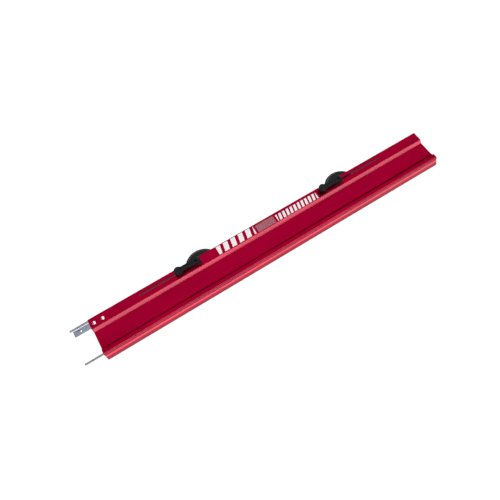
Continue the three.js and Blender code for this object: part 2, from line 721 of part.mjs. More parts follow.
// The lever about its pivot, pointing along -X with the cup locked.
function lever(side) {
  const inner = forkGap / 2;
  const outer = inner + CHEEK_THICKNESS;
  const cheeks = [[inner, outer], [-outer, -inner]].map(([y0, y1]) =>
    widenAcrossY(cheekOutline(), y0, y1),
  );
  const bridge = block(-BRIDGE_FAR, -BRIDGE_NEAR, -outer, outer, BRIDGE_BOTTOM, ARM_TOP);
  const arm = block(
    -LEVER_REACH,
    -BRIDGE_FAR + PAST,
    -ARM_HALF_WIDTH,
    ARM_HALF_WIDTH,
    ARM_BOTTOM,
    ARM_TOP,
  );
  const dishRadius = KNOB_RADIUS - KNOB_DISH_EDGE.inner;
  const knob = turn([
    [0, KNOB_BOTTOM],
    [KNOB_RADIUS - KNOB_BOTTOM_CHAMFER, KNOB_BOTTOM],
    [KNOB_RADIUS, KNOB_BOTTOM + KNOB_BOTTOM_CHAMFER],
    [KNOB_RADIUS, KNOB_TOP - KNOB_TOP_CHAMFER],
    [KNOB_RADIUS - KNOB_TOP_CHAMFER, KNOB_TOP],
    [KNOB_RADIUS - KNOB_DISH_EDGE.outer, KNOB_TOP],
    [dishRadius, KNOB_TOP - KNOB_DISH],
    [0, KNOB_TOP - KNOB_DISH],
  ]);
  const grooveFar = LEVER_REACH - KNOB_RADIUS - ARM_GROOVE_MARGIN;
  const groove = block(
    -grooveFar,
    -BRIDGE_FAR,
    -ARM_GROOVE_HALF_WIDTH,
    ARM_GROOVE_HALF_WIDTH,
    ARM_TOP - ARM_GROOVE_DEPTH,
    ARM_TOP + PAST,
  );
  const armBeyondKnob = rod(dishRadius, KNOB_TOP - KNOB_DISH, ARM_TOP + PAST);
  const bore = rod(PIVOT_RADIUS + PIVOT_CLEARANCE, -outer - PAST, outer + PAST).rotateX(Math.PI / 2);
  const body = join(...cheeks, bridge, arm, knob.translate(-LEVER_REACH, 0, 0));
  const made = cut(body, groove, bore, armBeyondKnob.translate(-LEVER_REACH, 0, 0));
  return piece(`${side}_lever`, made.translate(0, 0, pivotZ), blackPlastic);
}

function suctionCup(side) {
  const cup = new THREE.Group();
  cup.add(suctionPad(side), corePlate(side), pullTongue(side), cupHousing(side));
  cup.add(saddle(side), wearPlate(side), pivotPin(side), lever(side));
  for (const [which, x] of Object.entries(SADDLE_SCREWS)) {
    cup.add(saddleScrew(`${side}_saddle_screw_${which}`, -x));
  }
  cup.position.set(cupPlaces[side], slotY, 0);
  return cup;
}

// ---------------------------------------------------------------- the whole tool

const cutterRail = new THREE.Group();
cutterRail.add(guideRail());
cutterRail.add(gripStrip("front_grip_strip", lipToeY, lipToeY + LIP_FOOT_WIDTH));
cutterRail.add(
  gripStrip("middle_grip_strip", -LEG_FORWARD - LEG_FOOT_WIDTH / 2, -LEG_FORWARD + LEG_FOOT_WIDTH / 2),
);
cutterRail.add(dowelPin("back_dowel_pin", backBore), dowelPin("front_dowel_pin", frontBore));
cutterRail.add(splicePlate());
SPLICE_SCREWS_FROM_END.forEach((x, i) => {
  cutterRail.add(spliceScrew(`splice_screw_${i + 1}`, x));
});
cutterRail.add(suctionCup("left"), suctionCup("right"));

const bounds = new THREE.Box3().setFromObject(cutterRail, true);
const centre = bounds.getCenter(new THREE.Vector3());
cutterRail.position.set(-centre.x, -centre.y, -bounds.min.z);

export default cutterRail;
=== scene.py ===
"""Guide rail of a manual slab cutter: a crimson anodised extrusion with two lever-worked suction cups.

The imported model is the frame. Each section below makes one piece, or one group of like pieces, in metres
and in the frame's own axes: X along the rail, Y towards its back flange, Z up from the slab.
"""
import json
from math import acos, atan2, cos, hypot, pi, radians, sin, sqrt, tan

import bmesh
import bpy
from mathutils import Matrix, Vector

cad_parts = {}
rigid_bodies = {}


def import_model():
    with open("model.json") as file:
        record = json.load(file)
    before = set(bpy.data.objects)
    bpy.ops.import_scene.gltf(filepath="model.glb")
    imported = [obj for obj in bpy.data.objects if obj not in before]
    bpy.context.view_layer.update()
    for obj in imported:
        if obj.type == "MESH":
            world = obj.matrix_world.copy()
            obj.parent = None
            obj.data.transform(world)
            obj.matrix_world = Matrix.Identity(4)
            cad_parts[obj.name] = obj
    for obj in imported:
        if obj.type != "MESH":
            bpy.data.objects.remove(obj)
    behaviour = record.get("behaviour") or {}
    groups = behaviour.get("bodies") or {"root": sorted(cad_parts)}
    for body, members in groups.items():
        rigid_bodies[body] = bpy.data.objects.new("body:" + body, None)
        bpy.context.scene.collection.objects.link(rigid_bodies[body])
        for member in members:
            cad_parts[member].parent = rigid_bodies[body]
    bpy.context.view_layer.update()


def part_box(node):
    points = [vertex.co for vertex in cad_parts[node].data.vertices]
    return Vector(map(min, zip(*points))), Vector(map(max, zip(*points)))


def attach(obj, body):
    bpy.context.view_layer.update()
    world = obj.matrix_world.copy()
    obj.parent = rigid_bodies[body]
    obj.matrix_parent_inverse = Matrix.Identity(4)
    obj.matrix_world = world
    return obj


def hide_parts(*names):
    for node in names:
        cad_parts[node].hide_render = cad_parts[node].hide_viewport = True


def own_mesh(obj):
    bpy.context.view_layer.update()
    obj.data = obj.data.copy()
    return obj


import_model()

# ---------------------------------------------------------------- guide rail
# One length of extruded aluminium, anodised crimson. Its section is drawn once and run along X; the two
# cup slots and the screw holes are then cut through the flange, and the cut edges are broken by a fine
# chamfer.

rail_low, rail_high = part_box("guide_rail")
WALL = 0.0026
FLANGE_DEPTH = 0.0304
FLANGE_THICKNESS = 0.0028
STEP_RUN = 0.0074
PANEL_DROP = 0.009
PANEL_DEPTH = 0.0502
PANEL_SWEEP = 0.010
BEAD_DROP = 0.001
BEAD_RUN = 0.0043
BEAD_WIDTH = 0.0157
BEAD_FACE = 0.0098
LIP_BEVEL = (0.0038, 0.0045)
LIP_RUN = 0.0054
LIP_FOOT_WIDTH = 0.0132
LEG_FORWARD = 0.066
LEG_FOOT_WIDTH = 0.011
FOOT_THICKNESS = 0.0024
BOSS_RADIUS = 0.0048
BOSS_FORWARD = 0.0036
BORE_RADIUS = 0.0031
BORE_BEHIND_FACE = 0.0061
BORE_BELOW_TOP = 0.0078
BEAD_FLOOR = 0.0019
SLOT_SIZE = (0.190, 0.005)
SLOT_FROM_END = 0.147
SLOT_FORWARD = 0.0134
SCREW_HOLE_RADIUS = 0.00275
SCREW_HOLES_FROM_LEFT = (0.013, 0.038)
SCREW_HOLE_FROM_RIGHT = 0.026
SCREW_HOLE_FORWARD = 0.0174
STEP_ROUNDINGS = (0.0016, 0.0012)
BEAD_ROUNDINGS = (0.002, 0.0065)
BEVEL_ROUNDING = 0.0008
LIP_ROUNDING = 0.0015
WALL_BEND = 0.0015
STEP_INNER_ROUNDING = 0.002
INNER_FILLET = 0.001
FOOT_EDGE = 0.0006
CUT_PAST = 0.002
SAWN_EDGE = 0.00018

top = rail_high.z
left_end, right_end = rail_low.x, rail_high.x
back = rail_high.y - (BOSS_RADIUS - BOSS_FORWARD)
flange_under = top - FLANGE_THICKNESS
panel_top = top - PANEL_DROP
panel_under = panel_top - WALL
step_top = back - FLANGE_DEPTH
panel_back = step_top - STEP_RUN
panel_front = panel_back - PANEL_DEPTH
bead_back = panel_front - BEAD_RUN
bead_face = bead_back - BEAD_WIDTH
bead_top = top - BEAD_DROP
bevel_top = bead_top - BEAD_FACE
lip_edge = bead_face - LIP_BEVEL[0]
lip_top = bevel_top - LIP_BEVEL[1]
lip_toe = lip_edge - LIP_RUN
foot_under = rail_low.z
foot_top = foot_under + FOOT_THICKNESS
leg = back - LEG_FORWARD
back_bore = Vector((back - BOSS_FORWARD, top - BOSS_RADIUS))
front_bore = Vector((bead_face + BORE_BEHIND_FACE, bead_top - BORE_BELOW_TOP))
bead_under = front_bore.y - BORE_RADIUS - BEAD_FLOOR
slot_y = back - SLOT_FORWARD
screw_y = back - SCREW_HOLE_FORWARD


def arc(centre, radius, start, sweep, steps):
    """Points on an arc, both ends included."""
    angles = [start + sweep * i / steps for i in range(steps + 1)]
    return [Vector((centre[0] + radius * cos(a), centre[1] + radius * sin(a))) for a in angles]


def rounded(corners, steps=6, closed=True):
    """Points of an outline through corners (a, b, radius), each rounded to its own radius."""
    points = []
    for i, (a, b, radius) in enumerate(corners):
        corner = Vector((a, b))
        if radius == 0 or (not closed and i in (0, len(corners) - 1)):
            points.append(corner)
            continue
        before = (Vector(corners[i - 1][:2]) - corner).normalized()
        after = (Vector(corners[(i + 1) % len(corners)][:2]) - corner).normalized()
        half = acos(max(-1, min(1, before.dot(after)))) / 2
        centre = corner + (before + after).normalized() * radius / sin(half)
        start = corner + before * radius / tan(half) - centre
        turn = pi - 2 * half if before.cross(after) < 0 else 2 * half - pi
        points += arc(centre, radius, atan2(start.y, start.x), turn, steps)
    return points


def circle(centre, radius, steps=48):
    """Points round a circle."""
    return arc(centre, radius, 0, 2 * pi, steps)[:-1]


def slab(half_x, half_y, radius, centre=(0, 0)):
    """A rounded rectangle."""
    x, y = centre
    signs = ((-1, -1), (1, -1), (1, 1), (-1, 1))
    return rounded([(x + sx * half_x, y + sy * half_y, radius) for sx, sy in signs], 8)


def prism(name, outlines, low, high, along="Z"):
    """A solid whose section is the outlines, holes included, run from low to high along an axis."""
    curve = bpy.data.curves.new(name, "CURVE")
    curve.dimensions = "2D"
    curve.fill_mode = "BOTH"
    curve.extrude = (high - low) / 2
    for outline in outlines:
        spline = curve.splines.new("POLY")
        spline.points.add(len(outline) - 1)
        spline.use_cyclic_u = True
        for point, place in zip(spline.points, outline):
            point.co = (place[0], place[1], 0, 1)
    solid = bpy.data.objects.new(name, curve)
    bpy.context.scene.collection.objects.link(solid)
    mesh = bpy.data.meshes.new_from_object(solid.evaluated_get(bpy.context.evaluated_depsgraph_get()))
    bpy.data.objects.remove(solid)
    bpy.data.curves.remove(curve)
    axes = {
        "X": Matrix(((0, 0, 1), (1, 0, 0), (0, 1, 0))),
        "Y": Matrix(((1, 0, 0), (0, 0, -1), (0, 1, 0))),
        "Z": Matrix.Identity(3),
    }[along]
    middle = (high + low) / 2 * (-1 if along == "Y" else 1)
    mesh.transform(axes.to_4x4() @ Matrix.Translation((0, 0, middle)))
    return closed_piece(name, mesh)


def closed_piece(name, mesh):
    """Puts a mesh in the scene with its doubles merged and its faces outwards."""
    work = bmesh.new()
    work.from_mesh(mesh)
    bmesh.ops.remove_doubles(work, verts=work.verts, dist=1e-6)
    bmesh.ops.dissolve_degenerate(work, edges=work.edges, dist=1e-7)
    bmesh.ops.recalc_face_normals(work, faces=work.faces)
    work.to_mesh(mesh)
    work.free()
    mesh.name = name
    piece = bpy.data.objects.new(name, mesh)
    bpy.context.scene.collection.objects.link(piece)
    return piece


def combine(piece, operation, *tools):
    """Cuts tools out of a piece, or joins them to it, and removes them."""
    for tool in tools:
        step = piece.modifiers.new(operation, "BOOLEAN")
        step.operation = operation
        step.solver = "EXACT"
        step.object = tool
    settle(piece)
    for tool in tools:
        bpy.data.objects.remove(tool)
    return piece


def settle(piece):
    """Turns a piece's modifiers into plain mesh."""
    graph = bpy.context.evaluated_depsgraph_get()
    mesh = bpy.data.meshes.new_from_object(piece.evaluated_get(graph))
    piece.modifiers.clear()
    piece.data = mesh


def break_edges(piece, width, segments=2, angle=35):
    """Rounds the edges that are sharper than an angle, and shades the rest smooth."""
    bevel = piece.modifiers.new("edges", "BEVEL")
    bevel.width = width
    bevel.segments = segments
    bevel.limit_method = "ANGLE"
    bevel.angle_limit = radians(angle)
    bevel.use_clamp_overlap = False
    settle(piece)
    smooth(piece)
    return piece


def smooth(piece, angle=32):
    """Smooth shading that leaves large flat faces flat."""
    piece.data.shade_smooth()
    piece.data.set_sharp_from_angle(angle=radians(angle))
    flat = piece.modifiers.new("flat", "WEIGHTED_NORMAL")
    flat.keep_sharp = True
    flat.weight = 100
    settle(piece)


def rail_section():
    """The outside of the extrusion in Y and Z, from the back of the flange round to the boss under it."""
    slope = hypot(STEP_RUN, PANEL_DROP)

    def step_inside(z):
        """The inner side of the step's sloping wall, at a height."""
        fall = top - WALL * STEP_RUN / slope - z
        return step_top + WALL * PANEL_DROP / slope - fall * STEP_RUN / PANEL_DROP

    lip_drop = lip_top - foot_under
    lip_slope = hypot(LIP_RUN, lip_drop)

    def lip_inside(z):
        """The inner side of the lip's flaring wall, at a height."""
        fall = lip_top - WALL * LIP_RUN / lip_slope - z
        return lip_edge + WALL * lip_drop / lip_slope - fall * LIP_RUN / lip_drop

    floor_back = bead_back - WALL
    join_z = flange_under - back_bore.y
    join = (back_bore.x - sqrt(BOSS_RADIUS**2 - join_z**2), flange_under)
    corners = [
        (back_bore.x, top, 0),
        (step_top, top, STEP_ROUNDINGS[0]),
        (panel_back, panel_top, STEP_ROUNDINGS[1]),
        (panel_front, panel_top, PANEL_SWEEP),
        (bead_back, bead_top, BEAD_ROUNDINGS[0]),
        (bead_face, bead_top, BEAD_ROUNDINGS[1]),
        (bead_face, bevel_top, BEVEL_ROUNDING),
        (lip_edge, lip_top, LIP_ROUNDING),
        (lip_toe, foot_under, FOOT_EDGE),
        (lip_toe + LIP_FOOT_WIDTH, foot_under, FOOT_EDGE),
        (lip_toe + LIP_FOOT_WIDTH, foot_top, FOOT_EDGE),
        (lip_inside(foot_top), foot_top, INNER_FILLET),
        (lip_inside(bead_under), bead_under, WALL_BEND),
        (floor_back - (panel_under - bead_under), bead_under, INNER_FILLET),
        (floor_back, panel_under, INNER_FILLET),
        (leg - WALL / 2, panel_under, WALL_BEND),
        (leg - WALL / 2, foot_top, INNER_FILLET),
        (leg - LEG_FOOT_WIDTH / 2, foot_top, FOOT_EDGE),
        (leg - LEG_FOOT_WIDTH / 2, foot_under, FOOT_EDGE),
        (leg + LEG_FOOT_WIDTH / 2, foot_under, FOOT_EDGE),
        (leg + LEG_FOOT_WIDTH / 2, foot_top, FOOT_EDGE),
        (leg + WALL / 2, foot_top, INNER_FILLET),
        (leg + WALL / 2, panel_under, WALL_BEND),
        (step_inside(panel_under), panel_under, STEP_INNER_ROUNDING),
        (step_inside(flange_under), flange_under, INNER_FILLET),
    ]
    start = atan2(join_z, join[0] - back_bore.x)
    boss = arc(back_bore, BOSS_RADIUS, start, 2.5 * pi - start, 48)
    return rounded(corners, 8) + boss[:-1]


def stadium(length, width):
    """A slot's outline, with full round ends."""
    signs = ((-1, -1), (1, -1), (1, 1), (-1, 1))
    return rounded([(sx * length / 2, sy * width / 2, width / 2 - 1e-6) for sx, sy in signs], 12)


section = [rail_section(), circle(back_bore, BORE_RADIUS), circle(front_bore, BORE_RADIUS)]
guide_rail = prism("crimson_rail", section, left_end, right_end, along="X")
slot_x = left_end + SLOT_FROM_END + SLOT_SIZE[0] / 2
slot_places = [slot_x, left_end + right_end - slot_x]
hole_places = [left_end + x for x in SCREW_HOLES_FROM_LEFT] + [right_end - SCREW_HOLE_FROM_RIGHT]
cuts = [[p + Vector((x, slot_y)) for p in stadium(*SLOT_SIZE)] for x in slot_places]
cuts += [circle((x, screw_y), SCREW_HOLE_RADIUS) for x in hole_places]
combine(guide_rail, "DIFFERENCE", prism("cuts", cuts, flange_under - CUT_PAST, top + CUT_PAST))
break_edges(guide_rail, SAWN_EDGE)


class Value:
    """A socket of a material's tree, so that shader maths is written as arithmetic."""

    def __init__(self, finish, socket):
        self.finish = finish
        self.socket = socket

    def maths(self, operation, first, second):
        """One arithmetic node."""
        return self.finish.node("ShaderNodeMath", {"operation": operation}, {0: first, 1: second})

    def __add__(self, other):
        return self.maths("ADD", self, other)

    def __sub__(self, other):
        return self.maths("SUBTRACT", self, other)

    def __rsub__(self, other):
        return self.maths("SUBTRACT", other, self)

    def __mul__(self, other):
        return self.maths("MULTIPLY", self, other)

    def __truediv__(self, other):
        return self.maths("DIVIDE", self, other)

    def __mod__(self, other):
        return self.maths("FLOORED_MODULO", self, other)

    def __gt__(self, other):
        return self.maths("GREATER_THAN", self, other)

    def __lt__(self, other):
        return self.maths("LESS_THAN", self, other)

    __radd__ = __add__
    __rmul__ = __mul__


class Finish:
    """A material in the making. Settings that are even all over go straight on its shader."""

    def __init__(self, name, **even):
        self.material = bpy.data.materials.new(name)
        self.material.use_nodes = True
        self.tree = self.material.node_tree
        self.shader = self.tree.nodes["Principled BSDF"]
        for words, value in even.items():
            self.shader.inputs[words.replace("_", " ")].default_value = value
        self.place = self.node("ShaderNodeTexCoord", {}, {}, "Object")

    def node(self, kind, settings, sockets, output=0):
        """A node of one kind: its settings first, then the values or links of its sockets."""
        made = self.tree.nodes.new(kind)
        for name, value in settings.items():
            setattr(made, name, value)
        for key, value in sockets.items():
            if isinstance(value, Value):
                self.tree.links.new(value.socket, made.inputs[key])
            else:
                made.inputs[key].default_value = value
        return Value(self, made.outputs[output])

    def stretched(self, scale):
        """The piece's own coordinates, scaled."""
        return self.node("ShaderNodeMapping", {}, {"Vector": self.place, "Scale": scale})

    def noise(self, scale, detail=3, rough=0.5):
        """Cloudy noise from 0 to 1, with its own scale along each axis, in features per metre."""
        sockets = {"Vector": self.stretched(scale), "Scale": 1, "Detail": detail, "Roughness": rough}
        return self.node("ShaderNodeTexNoise", {}, sockets)

    def cells(self, scale):
        """Round cells, as the distance to the nearest cell's middle."""
        sockets = {"Vector": self.stretched((scale, scale, scale)), "Scale": 1}
        return self.node("ShaderNodeTexVoronoi", {"feature": "F1"}, sockets)

    def axes(self):
        """The piece's own X, Y and Z."""
        return [self.node("ShaderNodeSeparateXYZ", {}, {0: self.place}, i) for i in range(3)]

    def mix(self, share, first, second):
        """One colour, or a share of another."""
        sockets = {0: share, 6: self.opaque(first), 7: self.opaque(second)}
        return self.node("ShaderNodeMix", {"data_type": "RGBA"}, sockets, 2)

    def opaque(self, colour):
        """A colour with its alpha, or a linked colour as it is."""
        return colour if isinstance(colour, Value) else (*colour, 1)

    def spread(self, value, low, high, start=0, end=1):
        """Maps a value from one range to another, held at both ends."""
        return self.node("ShaderNodeMapRange", {}, {0: value, 1: start, 2: end, 3: low, 4: high})

    def set(self, name, value):
        """Links a value to one of the shader's sockets."""
        self.tree.links.new(value.socket, self.shader.inputs[name])

    def bump(self, height, depth, strength=1.0):
        """Lets a height from 0 to 1 roughen the surface by a depth in metres."""
        sockets = {"Height": height, "Distance": depth, "Strength": strength}
        self.set("Normal", self.node("ShaderNodeBump", {}, sockets))


def wear(piece, finish):
    """Gives a piece one finish."""
    piece.data.materials.clear()
    piece.data.materials.append(finish.material)


# The print on the flange: a band of bold slanted bars, a fine hatch and a band of smaller bars. Each
# gives where it starts and ends from the left end, then from the back edge, the pitch of its bars, and
# their share of the pitch.
BANDS = [
    (0.391, 0.512, 0.0022, 0.0278, 0.0242, 0.60),
    (0.585, 0.724, 0.0085, 0.0285, 0.0127, 0.60),
]
HATCH = (0.519, 0.578, 0.006, 0.0285, 0.0021, 0.45)
PRINT_LEAN = 0.22
PRINT_DEPTH = 0.0003


def crimson():
    """Dyed anodising over drawn aluminium: die lines, a slight cloud in the dye, and white print."""
    tint = (0.75, 0.02, 0.10, 1)
    finish = Finish("crimson_anodising", Coat_Roughness=0.22, Coat_IOR=1.6, Specular_Tint=tint)
    lines = finish.noise((2.5, 420, 420), 5, 0.6)
    cloud = finish.noise((9, 26, 26), 2)
    x, y, z = finish.axes()
    clouded = finish.spread(cloud, 0, 1, 0.3, 0.7)
    dye = finish.mix(clouded, (0.385, 0.0006, 0.030), (0.335, 0.0004, 0.027))
    dye = finish.mix(finish.spread(lines, 0, 0.35, 0.45, 0.75), dye, (0.25, 0.0004, 0.02))
    on_top = z > top - PRINT_DEPTH
    ink = grey_ink = None
    for from_left, to_left, from_back, to_back, pitch, share in BANDS + [HATCH]:
        inside = (x > left_end + from_left) * (x < left_end + to_left)
        inside = inside * (y < back - from_back) * (y > back - to_back)
        bars = ((x - left_end - from_left - (y - back) * PRINT_LEAN) / pitch) % 1 < share
        if (from_left, to_left) == HATCH[:2]:
            grey_ink = inside * bars * on_top
        else:
            ink = inside * bars if ink is None else ink + inside * bars
    ink = ink * on_top
    paint = finish.mix(grey_ink, dye, (0.42, 0.30, 0.34))
    finish.set("Base Color", finish.mix(ink, paint, (0.95, 0.94, 0.95)))
    finish.set("Metallic", 1 - ink * 0.97 - grey_ink * 0.6)
    finish.set("Roughness", finish.spread(lines, 0.27, 0.39, 0.3, 0.7) + ink * 0.12)
    facing = finish.node("ShaderNodeNewGeometry", {}, {}, "Normal")
    forward = finish.node("ShaderNodeSeparateXYZ", {}, {0: facing}, 1)
    upward = finish.node("ShaderNodeSeparateXYZ", {}, {0: facing}, 2)
    gloss = finish.spread(upward, 0.1, 0.6, 0.05, 0.4) * finish.spread(upward, 1, 0, 0.93, 0.995)
    gloss = gloss * finish.spread(forward, 1, 0, -0.15, 0.05)
    finish.set("Coat Weight", gloss)
    finish.bump(lines, 0.00001, 0.3)
    return finish


wear(guide_rail, crimson())
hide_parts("guide_rail")
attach(guide_rail, "rail")

# ---------------------------------------------------------------- grip strips
# Two strips of black cellular rubber, self-adhesive, stuck under the lip's foot and the middle leg's
# foot so that the rail doesn't slide on a glazed slab.

STRIP_ROUNDING = 0.0004


def cellular():
    """Black cellular rubber, with its cut pores open and painted shade darkening the middle of each pore.
    """
    finish = Finish("cellular_rubber", Roughness=0.95, Specular_IOR_Level=0.2)
    pores = finish.cells(900)
    # The base colour darkens towards each pore's middle: painted shade in the open pores.
    colour = finish.mix(finish.spread(pores, 1, 0, 0.1, 0.5), (0.035, 0.035, 0.037), (0.012, 0.012, 0.013))
    finish.set("Base Color", colour)
    finish.bump(pores, 0.0003)
    return finish


strip_finish = cellular()
for node in ("front_grip_strip", "middle_grip_strip"):
    low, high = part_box(node)
    centre = (low + high) / 2
    half = (high - low) / 2
    outline = slab(half.y, half.z, STRIP_ROUNDING, (centre.y, centre.z))
    strip = prism(node + "_rubber", [outline], low.x, high.x, along="X")
    smooth(strip)
    wear(strip, strip_finish)
    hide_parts(node)
    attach(strip, "rail")

# ---------------------------------------------------------------- dowel pins
# Two ground steel pins, pressed into the extrusion's bores at the left end. They line this rail up with
# the next.

DOWEL_LEAD = 0.0008
DOWEL_LEAD_RADIUS = 0.0024
DOWEL_ROUNDINGS = (0.0004, 0.0006)


def turned(name, profile, centre, along="Z", segments=64):
    """A turned solid: profile is (radius, height) from the axis round to the axis again."""
    spun = {
        "X": lambda r, h, a: (h, r * cos(a), r * sin(a)),
        "Y": lambda r, h, a: (r * sin(a), h, r * cos(a)),
        "Z": lambda r, h, a: (r * cos(a), r * sin(a), h),
    }[along]
    work = bmesh.new()
    rings = []
    for r, h in profile:
        angles = [2 * pi * i / segments for i in range(1 if r < 1e-9 else segments)]
        rings.append([work.verts.new(Vector(spun(r, h, a)) + Vector(centre)) for a in angles])
    for lower, upper in zip(rings, rings[1:]):
        for i in range(segments):
            corners = [lower[i % len(lower)], lower[(i + 1) % len(lower)]]
            corners += [upper[(i + 1) % len(upper)], upper[i % len(upper)]]
            unique = list(dict.fromkeys(corners))
            if len(unique) > 2:
                work.faces.new(unique)
    mesh = bpy.data.meshes.new(name)
    work.to_mesh(mesh)
    work.free()
    return closed_piece(name, mesh)


def ground_steel(name, shade):
    """Bright ground steel: fine rings round the pin and a few handling marks."""
    finish = Finish(name, Metallic=1.0)
    rings = finish.noise((1600, 60, 60), 3)
    marks = finish.noise((260, 260, 260), 5, 0.7)
    rubbed = tuple(c * 0.75 for c in shade)
    finish.set("Base Color", finish.mix(finish.spread(marks, 0, 1, 0.35, 0.75), shade, rubbed))
    scuffed = finish.spread(marks, 0, 0.1, 0.55, 0.75)
    finish.set("Roughness", finish.spread(rings, 0.14, 0.24, 0.3, 0.7) + scuffed)
    finish.bump(rings, 0.000002, 0.3)
    return finish


# The pins' steel is given a darker shade than bare ground steel: painted shade, standing in for the darker
# surroundings that the pins reflect.
steel = ground_steel("ground_steel", (0.27, 0.27, 0.29))
for node in ("back_dowel_pin", "front_dowel_pin"):
    low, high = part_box(node)
    radius = (high.z - low.z) / 2
    axis = (0, (low.y + high.y) / 2, (low.z + high.z) / 2)
    end_round, lead_round = DOWEL_ROUNDINGS
    profile = rounded([
        (0, low.x, 0), (DOWEL_LEAD_RADIUS, low.x, end_round), (radius, low.x + DOWEL_LEAD, lead_round),
        (radius, high.x - DOWEL_LEAD, lead_round), (DOWEL_LEAD_RADIUS, high.x, end_round),
        (0, high.x, 0)], 5, closed=False)
    pin = turned(node + "_steel", profile, axis, along="X")
    smooth(pin)
    wear(pin, steel)
    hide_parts(node)
    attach(pin, "rail")

# ---------------------------------------------------------------- splice plate
# A flat bar of zinc-plated steel under the flange, half of it sticking out of the left end. It has
# three tapped holes: two for this rail's own screws, and one that the next rail is screwed down to.

TAPPED_RADIUS = 0.00255
PLATE_CORNER = 0.001
PLATE_ROUNDING = 0.0004


def zinc():
    """Bright zinc plate with a cool tint, rolled steel showing through as streaks along the bar."""
    finish = Finish("zinc_plate", Metallic=1.0)
    streaks = finish.noise((30, 900, 900), 4, 0.6)
    bloom = finish.noise((140, 140, 140), 4, 0.6)
    colour = finish.mix(finish.spread(bloom, 0, 1, 0.35, 0.65), (0.34, 0.40, 0.50), (0.24, 0.29, 0.38))
    bare = finish.spread(streaks, 0, 0.5, 0.5, 0.8)
    finish.set("Base Color", finish.mix(bare, colour, (0.55, 0.58, 0.64)))
    bloomed = finish.spread(bloom, 0, 0.08, 0.4, 0.7)
    finish.set("Roughness", finish.spread(streaks, 0.30, 0.46, 0.3, 0.7) + bloomed)
    finish.bump(streaks, 0.00002, 0.6)
    return finish


zinc_finish = zinc()
low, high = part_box("splice_plate")
centre = (low + high) / 2
tapped = [left_end + x for x in SCREW_HOLES_FROM_LEFT] + [left_end - SCREW_HOLE_FROM_RIGHT]
half = (high - low) / 2
plate_outline = slab(half.x, half.y, PLATE_CORNER, (centre.x, centre.y))
tapped_holes = [circle((x, screw_y), TAPPED_RADIUS) for x in tapped]
splice_plate = prism("splice_bar", [plate_outline, *tapped_holes], low.z, high.z)
break_edges(splice_plate, PLATE_ROUNDING, 3)
wear(splice_plate, zinc_finish)
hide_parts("splice_plate")
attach(splice_plate, "rail")

# ---------------------------------------------------------------- splice screws
# Two bright button-head socket screws that clamp the splice plate up against the flange. The same small
# tree of nodes makes every screw on the tool: a crowned head on a shank with a hexagon socket, repeated
# along X.


class Tree:
    """A geometry tree in the making, with named inputs."""

    def __init__(self, name, inputs):
        self.tree = bpy.data.node_groups.new(name, "GeometryNodeTree")
        self.tree.interface.new_socket("Geometry", in_out="OUTPUT", socket_type="NodeSocketGeometry")
        self.names = {}
        for words, kind in inputs.items():
            kind = "NodeSocket" + kind
            item = self.tree.interface.new_socket(words, in_out="INPUT", socket_type=kind)
            self.names[words] = item.identifier
        self.input = self.tree.nodes.new("NodeGroupInput")
        self.output = self.tree.nodes.new("NodeGroupOutput")

    def __getitem__(self, words):
        return self.input.outputs[words]

    def node(self, kind, settings=None, **sockets):
        """A node: its settings first, then its sockets, by name, as values, links or lists of links."""
        made = self.tree.nodes.new(kind)
        for name, value in (settings or {}).items():
            setattr(made, name, value)
        for words, value in sockets.items():
            key = int(words[1:]) if words[0] == "_" else words.replace("_", " ")
            socket = made.inputs[key]
            for link in value if isinstance(value, list) else [value]:
                if isinstance(link, bpy.types.NodeSocket):
                    self.tree.links.new(link, socket)
                else:
                    socket.default_value = link
        return made.outputs[0]

    def times(self, first, second):
        """The product of two values."""
        return self.node("ShaderNodeMath", {"operation": "MULTIPLY"}, _0=first, _1=second)

    def moved_up(self, geometry, z):
        """A geometry, moved along Z."""
        place = self.node("ShaderNodeCombineXYZ", Z=z)
        return self.node("GeometryNodeTransform", Geometry=geometry, Translation=place)

    def cylinder(self, vertices, radius, depth):
        """A cylinder about Z, its middle at the origin."""
        return self.node("GeometryNodeMeshCylinder", Vertices=vertices, Radius=radius, Depth=depth)

    def boolean(self, operation, **sockets):
        """An exact union, intersection or difference."""
        return self.node("GeometryNodeMeshBoolean", {"operation": operation, "solver": "EXACT"}, **sockets)


CROWN_REACH = 1.2
SHANK_INTO_HEAD = (1.02, -0.49)
SOCKET_LIFT = 0.85


